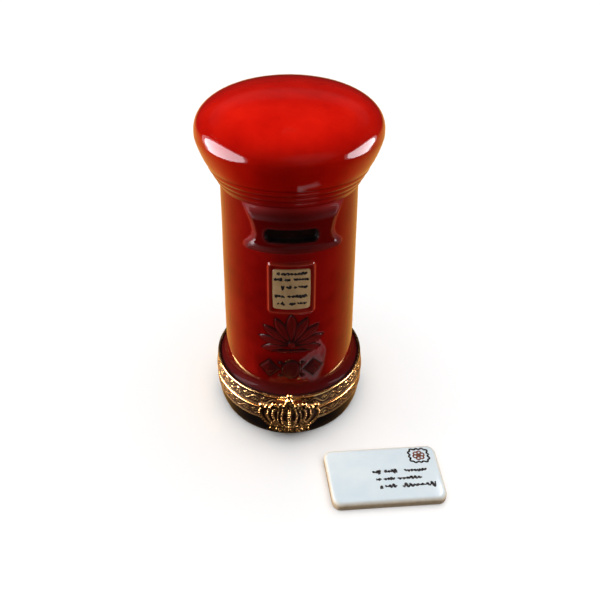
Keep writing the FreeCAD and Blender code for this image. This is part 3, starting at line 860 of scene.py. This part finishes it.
for s in (-1, 1):
    for arch, r in ((outer_arch, 0.36), (inner_arch, 0.33)):
        pts = [(s * -x, zc) for x, zc in arch]
        crown_parts.append(rod(pts, r + 0.12, 0.42, 1.0))
        crown_parts += beads_on(pts, r + 0.02, 0.86, 0.78)
crown_parts.append(rod(middle, 0.44, 0.5))
crown_parts += beads_on(middle, 0.38, 0.98, 0.82)
# finer rows of beads in the fields between the arches, and a row along the top edge
for s in (-1, 1):
    crown_parts += beads_on([(s * 1.25, 6.6), (s * 1.85, 9.4), (s * 1.5, 12.2)], 0.27, 0.92, 0.66)
    crown_parts += beads_on([(s * 2.6, 6.5), (s * 2.85, 9.4), (s * 2.5, 12.0)], 0.22, 0.9, 0.62)
    crown_parts += beads_on([(s * 4.0, 6.6), (s * 5.2, 9.2), (s * 5.1, 11.8)], 0.27, 0.9, 0.66)
    crown_parts += beads_on([(s * 0.9, 13.5), (s * 2.4, 13.05), (s * 4.2, 12.95), (s * 6.4, 12.35)], 0.36, 1.0, 0.84)
# trefoils standing on the circlet between the arches
for x, zc in ((-3.75, 7.1), (3.75, 7.1), (-1.15, 7.2), (1.15, 7.2)):
    crown_parts += [ball(x, zc + 0.55, 0.7, 0.42), ball(x - 0.42, zc, 0.65, 0.36), ball(x + 0.42, zc, 0.65, 0.36)]
for x in (-5.6, 5.6, -2.0, 2.0):
    crown_parts.append(ball(x, 9.9 if abs(x) > 3 else 10.2, 0.55, 0.5, 0.8))
for x, zc, r in ((-6.85, 12.75, 0.8), (6.85, 12.75, 0.8), (-3.75, 13.55, 0.82), (3.75, 13.55, 0.82), (-5.35, 13.0, 0.5), (5.35, 13.0, 0.5),
                 (-2.0, 13.85, 0.5), (2.0, 13.85, 0.5)):
    crown_parts.append(ball(x, zc, 0.62, r))
crown_parts += [ball(0, 14.95, 0.58, 1.25, 0.95), rod([(0, 15.6), (0, 16.9)], 0.34, 0.55),
                ball(0, 16.86, 0.55, 0.71), rod([(-1.22, 14.95), (0, 14.95), (1.22, 14.95)], 0.3, 1.5, 1.0)]
crown_parts = [(bend(v), f) for v, f in crown_parts]
crown = merge("crown_cast", crown_parts)
mod = crown.modifiers.new("skin", "REMESH")
mod.mode = "VOXEL"
mod.voxel_size = 0.00011
mod.use_smooth_shade = True
mod = crown.modifiers.new("work", "SMOOTH")
mod.factor = 0.5
mod.iterations = 2
dg = bpy.context.evaluated_depsgraph_get()
me = bpy.data.meshes.new_from_object(crown.evaluated_get(dg))
crown.modifiers.clear()
crown.data = me
co = np.zeros(len(me.vertices) * 3, np.float32)
me.vertices.foreach_get("co", co)
co = co.reshape(-1, 3) / MM
rad = np.hypot(co[:, 0], co[:, 1])
# keep the crown's back on the tab's face
push = np.maximum(CR + 0.0 - rad, 0)
co[:, 0] *= (rad + push) / rad
co[:, 1] *= (rad + push) / rad
me.vertices.foreach_set("co", (co * MM).astype(np.float32).ravel())
me.update()
rel = np.clip((np.hypot(co[:, 0], co[:, 1]) - CR - 0.62) / 0.75, 0, 1)
rel[co[:, 2] > 13.9] = np.maximum(rel[co[:, 2] > 13.9], 0.75)
rel = np.clip(rel + 0.22 * smoothstep((7.6 - co[:, 2]) / 1.5) + 0.30 * smoothstep((co[:, 2] - 12.2) / 0.6), 0, 1)
at = me.attributes.new("relief", "FLOAT", "POINT")
at.data.foreach_set("value", rel.astype(np.float32))
me.polygons.foreach_set("use_smooth", np.ones(len(me.polygons), bool))
dress(crown, BRASS_CROWN, "pillar", "brass", "crown_clasp")

# --------------------------------------------------------------------------
# letter
# --------------------------------------------------------------------------
lo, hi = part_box("letter")
LT = hi.z / MM
LC = (22.75, -32.7)
LTURN = math.radians(4.0)
LX, LY, TAPER = 13.99, 7.444, 0.7


def letter_point(x, y, zc):
    c, s = math.cos(LTURN), math.sin(LTURN)
    return np.stack([LC[0] + x * c - y * s, LC[1] + x * s + y * c, zc + np.zeros_like(x)], -1)


def letter_ring(inset, n=288, rc=2.0):
    """Rounded rectangle pulled in by inset."""
    t = np.linspace(0, 2 * math.pi, n, endpoint=False)
    bx, by = LX - inset, LY - inset
    r = max(rc - inset * 0.6, 0.3)
    pts = []
    for cx, cy, a0 in ((bx - r, by - r, 0), (-bx + r, by - r, 90), (-bx + r, -by + r, 180), (bx - r, -by + r, 270)):
        for k in range(13):
            aa = math.radians(a0 + 90 * k / 12)
            pts.append((cx + r * math.cos(aa), cy + r * math.sin(aa)))
    pts.append(pts[0])
    pts = np.array(pts)
    seg = np.r_[0, np.cumsum(np.linalg.norm(np.diff(pts, axis=0), axis=1))]
    s = np.linspace(0, seg[-1], n, endpoint=False)
    x, y = np.interp(s, seg, pts[:, 0]), np.interp(s, seg, pts[:, 1])
    # a little wider along the far edge
    return x * (1 - TAPER * 0.5 * (1 - y / LY) / LX), y


def top_z(x, y):
    """The tablet's top is a little pillowed."""
    q = 1 - 0.5 * (x / LX) ** 4 - 0.5 * (y / LY) ** 4
    return LT - 0.03 - 0.14 * (1 - q)


lprof = [(LX, None)]
P, G = [], []
for scale in (0.03, 0.2, 0.4, 0.6, 0.78, 0.9):
    x, y = letter_ring(0.5)
    x, y = x * scale, y * scale
    P.append(letter_point(x, y, np.zeros_like(x)))
    G.append(np.zeros_like(x))
bottom_rows = [(0.5, 0.0), (0.33, 0.03), (0.17, 0.12), (0.05, 0.28), (0.0, 0.5)]
side_rows = [(0.0, 0.75), (0.0, 1.0), (0.0, 1.25), (0.0, LT - 0.95)]
# the side faces take mostly gold: the gilt edge spread over them as a painted warm reflection
for inset, zc in bottom_rows + side_rows:
    x, y = letter_ring(inset)
    P.append(letter_point(x, y, np.full_like(x, zc)))
    G.append(np.full_like(x, 0.8 if zc > 0.2 else 0.3))
for k in range(1, 8):
    t = math.radians(90 * k / 7)
    inset, drop = 0.9 * (1 - math.cos(t)), 0.9 * (1 - math.sin(t))
    x, y = letter_ring(inset)
    P.append(letter_point(x, y, top_z(x, y) - drop))
    G.append(np.full_like(x, max(0.0, 0.9 - k / 7 * 0.95)))
for scale in (0.97, 0.93, 0.86, 0.76, 0.64, 0.5, 0.36, 0.2, 0.05):
    x, y = letter_ring(0.9)
    x, y = x * scale, y * scale
    P.append(letter_point(x, y, top_z(x, y)))
    G.append(np.zeros_like(x))
P = np.array(P)
G = np.array(G)
x0 = np.zeros(1)
letter = turned("letter_tablet", P, letter_point(x0, x0, 0.0)[0], letter_point(x0, x0, top_z(x0, x0))[0],
                attributes={"gilt_and_reflection": G})
dress(letter, WHITE, "letter", "white_glaze", "letter")

parts = []
rng = np.random.default_rng(9)


def on_letter(x, y, lift=0.012):
    return letter_point(np.asarray(x, float), np.asarray(y, float), top_z(np.asarray(x, float), np.asarray(y, float)) + lift)


def pen(x, y, width, flat=0.3):
    P_ = on_letter(x, y)
    nrm = np.repeat(np.array([[0.0, 0.0, 1.0]]), len(P_), 0)
    return tube_along(P_, width, 8, flat, nrm)


for y0, words, h in ((0.4, [(-2.8, -0.9, 3), (0.0, 3.0, 4), (4.9, 10.2, 7)], 0.52),
                     (-1.6, [(-2.4, -1.1, 2), (-0.6, 2.1, 4), (2.7, 8.6, 7)], 0.50),
                     (-3.5, [(-1.8, -1.2, 1), (-0.6, 2.2, 3), (3.5, 11.4, 7)], 0.60)):
    for a0, a1, loops in words:
        x, zc, w = scribble(a0, a1, y0, rng, h, loops)
        parts.append(pen(x, zc, 0.22 * w + 0.11, 0.2))
strokes = merge("letter_strokes", parts)
dress(strokes, INK, "letter", "black_glaze")

# stamp: a wavy frame with a plain rosette in it
t = np.linspace(0, 2 * math.pi, 161)
SC = (9.35, 4.4)
fx, fy = 2.3, 1.85
sq = (np.abs(np.cos(t)) ** 5 + np.abs(np.sin(t)) ** 5) ** -0.2
wav = 1 + 0.075 * np.sin(12 * t + 0.6)
parts = [pen(SC[0] + fx * sq * wav * np.cos(t), SC[1] + fy * sq * wav * np.sin(t), 0.23, 0.22)]
frame_line = merge("stamp_frame", parts)
dress(frame_line, INK, "letter", "black_glaze")
parts = []
for k in range(6):
    a0 = math.radians(60 * k + 15)
    tt = np.linspace(0, 2 * math.pi, 33)
    cx, cy = SC[0] + 0.92 * math.cos(a0), SC[1] + 0.8 * math.sin(a0)
    parts.append(pen(cx + 0.5 * np.cos(tt), cy + 0.42 * np.sin(tt), 0.2))
tt = np.linspace(0, 2 * math.pi, 33)
parts.append(pen(SC[0] + 0.26 * np.cos(tt), SC[1] + 0.22 * np.sin(tt), 0.24))
rosette = merge("stamp_rosette", parts)
dress(rosette, SEPIA, "letter", "red_glaze")

# --------------------------------------------------------------------------
# carried-over brass pieces
# --------------------------------------------------------------------------
for node in ("locating_collar", "catch_bead", "hinge_bearer_lower", "hinge_bearer_upper", "hinge_knuckle_left",
             "hinge_knuckle_right", "hinge_knuckle_middle", "hinge_pin", "clasp_tab"):
    o = frame["nodes"][node]
    o.data.materials.clear()
    o.data.materials.append(BRASS_PLAIN)

# --------------------------------------------------------------------------
# floor, light, camera
# --------------------------------------------------------------------------
def seen_by_camera_only(o):
    o.visible_diffuse = False
    o.visible_glossy = False
    o.visible_transmission = False
    o.visible_shadow = False


bpy.ops.mesh.primitive_plane_add(size=8.0, location=(0, 0, -0.00002))
floor = bpy.context.object
floor.name = "floor"
m, nt, b = new_material("floor_paper")
nt.links.new(ramp(nt, noise(nt, 3.0, 2.0, 0.5), [(0.3, (0.80, 0.80, 0.80)), (0.7, (0.83, 0.83, 0.83))]), b.inputs["Base Color"])
b.inputs["Roughness"].default_value = 0.9
b.inputs["Specular IOR Level"].default_value = 0.1
floor.data.materials.append(m)
seen_by_camera_only(floor)

# pale surround behind the floor's far edge, for the low views
bpy.ops.mesh.primitive_uv_sphere_add(radius=3.9, segments=48, ring_count=24, location=(0, 0, 0))
backdrop = bpy.context.object
backdrop.name = "backdrop"
m = bpy.data.materials.new("backdrop_paper")
m.use_nodes = True
nt = m.node_tree
nt.nodes.clear()
o_ = nt.nodes.new("ShaderNodeOutputMaterial")
e_ = nt.nodes.new("ShaderNodeEmission")
e_.inputs[0].default_value = (1.0, 1.0, 1.0, 1)
e_.inputs[1].default_value = 1.0
nt.links.new(e_.outputs[0], o_.inputs[0])
backdrop.data.materials.append(m)
seen_by_camera_only(backdrop)

# groups that some of the lights are kept to
part = bpy.data.collections.new("part")
metal = bpy.data.collections.new("metal")
ground = bpy.data.collections.new("ground")
ground.objects.link(floor)
for o in bpy.data.objects:
    if o.type == "MESH" and o.name not in ("floor", "backdrop"):
        part.objects.link(o)
        if any(k in o.name for k in ("band_chased", "crown_cast", "collar", "hinge", "clasp", "bead")):
            metal.objects.link(o)


def direction(az, el):
    a, e = math.radians(az), math.radians(el)
    return Vector((math.sin(a) * math.cos(e), -math.cos(a) * math.cos(e), math.sin(e)))


def sun(name, az, el, strength, angle, colour=(1, 1, 1), only=None):
    """A distant soft light that gives colour and shade but no highlight."""
    L = bpy.data.lights.new(name, "SUN")
    L.energy = strength * math.pi
    L.angle = math.radians(angle)
    L.color = colour
    o = link(bpy.data.objects.new(name, L))
    o.rotation_mode = "QUATERNION"
    o.rotation_quaternion = (-direction(az, el)).to_track_quat("-Z", "Y")
    o.visible_glossy = False
    if only:
        o.light_linking.receiver_collection = only
    return o


def softbox(name, loc, target, size, power, colour=(1, 1, 1), size_y=None, only=None, shape=None):
    L = bpy.data.lights.new(name, "AREA")
    L.shape = shape or ("RECTANGLE" if size_y else "SQUARE")
    L.size = size
    if size_y:
        L.size_y = size_y
    L.energy = power
    L.color = colour
    o = link(bpy.data.objects.new(name, L))
    o.location = loc
    o.rotation_mode = "QUATERNION"
    o.rotation_quaternion = (Vector(target) - Vector(loc)).to_track_quat("-Z", "Y")
    if only:
        o.light_linking.receiver_collection = only
    o.visible_camera = False
    return o


def streak(name, centre, tilt, half, facing, radiance, colour):
    """An upright oval softbox beside the cap that makes one highlight and gives no light otherwise."""
    a, b = half
    o = softbox(name, centre, (0, 0, 0), 2 * a, math.pi ** 2 * a * b * radiance, colour, 2 * b, part, "ELLIPSE")
    c, s_ = math.cos(math.radians(tilt)), math.sin(math.radians(tilt))
    across = Vector((0, c, s_))
    out = Vector((-facing, 0, 0))
    o.rotation_quaternion = Matrix((across, out.cross(across), out)).transposed().to_quaternion()
    o.visible_diffuse = False


# light for colour: from straight above, low from each side, and back up from the table in front
sun("floor_light", 0, 90, 1.32, 100, only=ground)
sun("overhead", 0, 90, 0.74, 16, only=part)
sun("side_left", -97, 4, 1.15, 24, (1.0, 0.95, 0.90), part)
sun("side_right", 97, 4, 0.62, 24, (1.0, 0.95, 0.90), part)
sun("bounce", 0, -25, 0.22, 50, (1.0, 0.93, 0.86), part)
# two narrow lamps that reach the cap alone, for its front and its far side
for name, az, el, aim, wide, strength in (("cap_front", 0, 16, (0, -0.012, 0.0925), 8.6, 2.4), ("cap_back", 180, 30, (0, 0.012, 0.0890), 9.0, 1.5)):
    L = bpy.data.lights.new(name, "SPOT")
    L.energy = strength
    L.spot_size = math.radians(wide)
    L.spot_blend = 0.35
    L.shadow_soft_size = 0.004
    o = link(bpy.data.objects.new(name, L))
    o.location = Vector(aim) + 0.26 * direction(az, el)
    o.rotation_mode = "QUATERNION"
    o.rotation_quaternion = (-direction(az, el)).to_track_quat("-Z", "Y")
    o.visible_glossy = False
    o.visible_camera = False
    o.light_linking.receiver_collection = part

# the two streaks on the cap's rim, each with a fainter one round it
for grow, radiance in ((1.0, 13.0), (1.2, 1.6)):
    streak("streak_left", (-0.060, -0.0250, 0.0616), 15.0, (0.034 * grow, 0.015 * grow), 1, radiance, (0.97, 0.94, 1.0))
    streak("streak_right", (0.060, -0.0120, 0.0655), 12.5, (0.023 * grow, 0.0092 * grow), -1, radiance, (0.97, 0.94, 1.0))

# softboxes that only the brass sees: mostly from the left, and less from the right and above
for name, az, el, dist, size, power in (("metal_left", -92, 26, 0.30, 0.17, 5.2), ("metal_right", 86, 28, 0.30, 0.13, 2.0),
                                        ("metal_top", -12, 64, 0.30, 0.04, 0.24)):
    softbox(name, dist * direction(az, el), (0, 0, 0.01), size, power, (1.0, 0.94, 0.86), only=metal)

# surroundings: dim in front, a warm table low on each side and behind
world = bpy.data.worlds.new("studio")
bpy.context.scene.world = world
world.use_nodes = True
nt = world.node_tree
bg = nt.nodes["Background"]
tc = nt.nodes.new("ShaderNodeTexCoord")
sep = nt.nodes.new("ShaderNodeSeparateXYZ")
nt.links.new(tc.outputs["Generated"], sep.inputs[0])
X, Y, Z = sep.outputs[0], sep.outputs[1], sep.outputs[2]
flat = math_node(nt, "SQRT", math_node(nt, "MAXIMUM", math_node(nt, "SUBTRACT", 1.0, math_node(nt, "MULTIPLY", Z, Z)), 0.0001))
back = math_node(nt, "MULTIPLY_ADD", math_node(nt, "DIVIDE", Y, flat), 0.5, 0.5)        # 0 in front, 1 behind
height = math_node(nt, "MULTIPLY_ADD", Z, 0.5, 0.5)                                     # 0 below, 1 above


def level(cosine_back):
    return 0.5 + 0.5 * cosine_back


table = ramp(nt, back, [(level(-0.60), (0.004, 0.003, 0.002)), (level(-0.18), (0.10, 0.042, 0.010)),
                        (level(0.18), (0.40, 0.185, 0.040)), (level(0.70), (0.76, 0.37, 0.085))])
steep = ramp(nt, height, [(level(-0.85), (0.12,) * 3), (level(-0.66), (1, 1, 1))])
table = mixc(nt, 1.0, table, steep, "MULTIPLY")
# the room's far wall: a faint pale band behind, a little above level
wall = ramp(nt, height, [(level(math.sin(math.radians(21))), (0.012,) * 3), (level(math.sin(math.radians(26))), (0.07,) * 3),
                         (level(math.sin(math.radians(33))), (0.07,) * 3), (level(math.sin(math.radians(39))), (0.02,) * 3)])
room = mixc(nt, ramp(nt, back, [(level(0.30), (0, 0, 0)), (level(0.60), (1, 1, 1))]), (0.02, 0.02, 0.02), wall)
is_low = ramp(nt, height, [(level(-0.20), (1, 1, 1)), (level(-0.06), (0, 0, 0))])
colour = mixc(nt, is_low, room, table)
# a dim card in front, a little to the right
cx, cy, cz = direction(24, -2)
dot = math_node(nt, "ADD", math_node(nt, "ADD", math_node(nt, "MULTIPLY", X, cx), math_node(nt, "MULTIPLY", Y, cy)),
                math_node(nt, "MULTIPLY", Z, cz))
lift = math_node(nt, "MULTIPLY", math_node(nt, "SUBTRACT", Z, cz), math_node(nt, "SUBTRACT", Z, cz))
card = ramp(nt, math_node(nt, "SUBTRACT", dot, math_node(nt, "MULTIPLY", lift, 1.6)), [(0.80, (0, 0, 0)), (0.93, (1, 1, 1))])
colour = mixc(nt, card, colour, (0.20, 0.19, 0.185))
nt.links.new(colour, bg.inputs[0])
bg.inputs[1].default_value = 1.0

cam_d = bpy.data.cameras.new("camera")
cam_d.lens = 31.2
cam_d.sensor_width = 36.0
cam_d.shift_x = 10.78 / 600.0
cam_d.clip_start = 0.005
cam = link(bpy.data.objects.new("camera", cam_d))
cam.location = (0.0, -0.105967, 0.110448)
cam.rotation_euler = (math.radians(90 - 37.397), 0, 0)
bpy.context.scene.camera = cam
bpy.context.scene.view_settings.view_transform = "Standard"

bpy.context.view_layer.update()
import json
